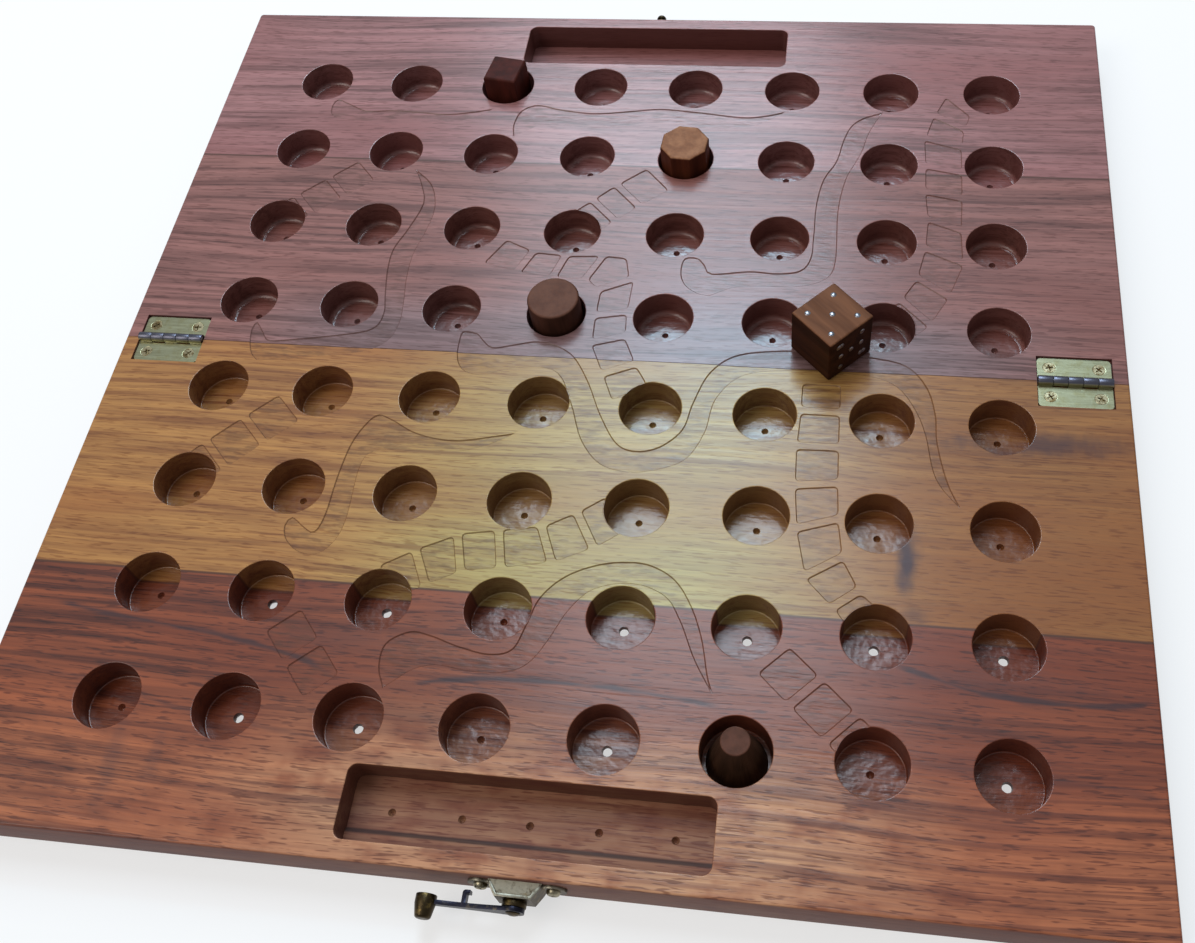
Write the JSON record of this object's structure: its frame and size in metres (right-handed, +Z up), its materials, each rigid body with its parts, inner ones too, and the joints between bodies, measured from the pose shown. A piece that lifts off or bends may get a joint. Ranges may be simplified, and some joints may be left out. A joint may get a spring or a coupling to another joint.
{
  "type": "folding snakes and ladders board",
  "caption": "Hinged wooden board that folds flat into a latched case, with round sockets for pegs, a tray near each end, shaped pegs and a wooden die.",
  "frame": {"origin": "middle of the fold line at the table, under the open board", "axes": "+Z up from the table; the fold runs along X; the half with the latch is on the -Y side"},
  "size_m": [0.366, 0.3844, 0.0366],
  "materials": {
    "front_inner_wood": "varnished solid wood, satin to glossy",
    "front_outer_wood": "varnished solid wood, satin to glossy",
    "back_wood": "varnished solid wood, satin to glossy",
    "hinge_brass": "brushed, clear lacquer",
    "hinge_steel": "darkened barrel and pin",
    "screw_brass": "bright",
    "antique_brass": "antiqued, dark in the hollows",
    "dark_peg_wood": "oiled",
    "light_peg_wood": "oiled",
    "brown_peg_wood": "oiled",
    "cone_peg_wood": "oiled",
    "die_wood": "oiled",
    "nail_steel": "bright"
  },
  "bodies": {
    "front_half": {"front_inner_plank": "front_inner_wood", "front_outer_plank": "front_outer_wood", "left_hinge_front_leaf": "hinge_brass", "left_hinge_front_screws": "screw_brass", "left_hinge_pin": "hinge_steel", "right_hinge_front_leaf": "hinge_brass", "right_hinge_front_screws": "screw_brass", "right_hinge_pin": "hinge_steel", "latch_plate": "antique_brass", "latch_screws": "antique_brass", "latch_pivot_rivet": "antique_brass"},
    "back_half": {"back_inner_plank": "back_wood", "back_outer_plank": "back_wood", "left_hinge_back_leaf": "hinge_brass", "left_hinge_back_screws": "screw_brass", "right_hinge_back_leaf": "hinge_brass", "right_hinge_back_screws": "screw_brass", "keeper_plate": "antique_brass", "keeper_screws": "antique_brass", "keeper_stud": "antique_brass"},
    "swing_hook": {"latch_hook": "antique_brass", "latch_hook_knob": "antique_brass"},
    "square_peg": {"square_peg": "dark_peg_wood"},
    "octagonal_peg": {"octagonal_peg": "light_peg_wood"},
    "round_peg": {"round_peg": "brown_peg_wood"},
    "conical_peg": {"conical_peg": "cone_peg_wood"},
    "die": {"die": "die_wood", "die_pips": "nail_steel"}
  },
  "joints": [
    {"name": "board_fold", "type": "hinge", "parent": "front_half", "child": "back_half", "pos_m": [0, 0, 0.01615], "axis": [1, 0, 0], "range_deg": [0, 180]},
    {"name": "hook_swing", "type": "hinge", "parent": "front_half", "child": "swing_hook", "pos_m": [0, -0.19, 0.009], "axis": [0, 1, 0], "range_deg": [-10, 90]},
    {"name": "square_peg_lift", "type": "slide", "parent": "back_half", "child": "square_peg", "axis": [0, 0, -1], "range_m": [-0.013, 0]},
    {"name": "octagonal_peg_lift", "type": "slide", "parent": "back_half", "child": "octagonal_peg", "axis": [0, 0, -1], "range_m": [-0.013, 0]},
    {"name": "round_peg_lift", "type": "slide", "parent": "back_half", "child": "round_peg", "axis": [0, 0, -1], "range_m": [-0.013, 0]},
    {"name": "conical_peg_lift", "type": "slide", "parent": "front_half", "child": "conical_peg", "axis": [0, 0, -1], "range_m": [-0.013, 0]},
    {"name": "die_put_away", "type": "hinge", "parent": "front_half", "child": "die", "pos_m": [0.04506, -0.07815, 0.02138], "axis": [0.9239, -0.3827, 0], "range_deg": [0, 180]}
  ],
  "couplings": [
    {"joint": "die_put_away", "follows": "board_fold", "ratio": 1}
  ]
}
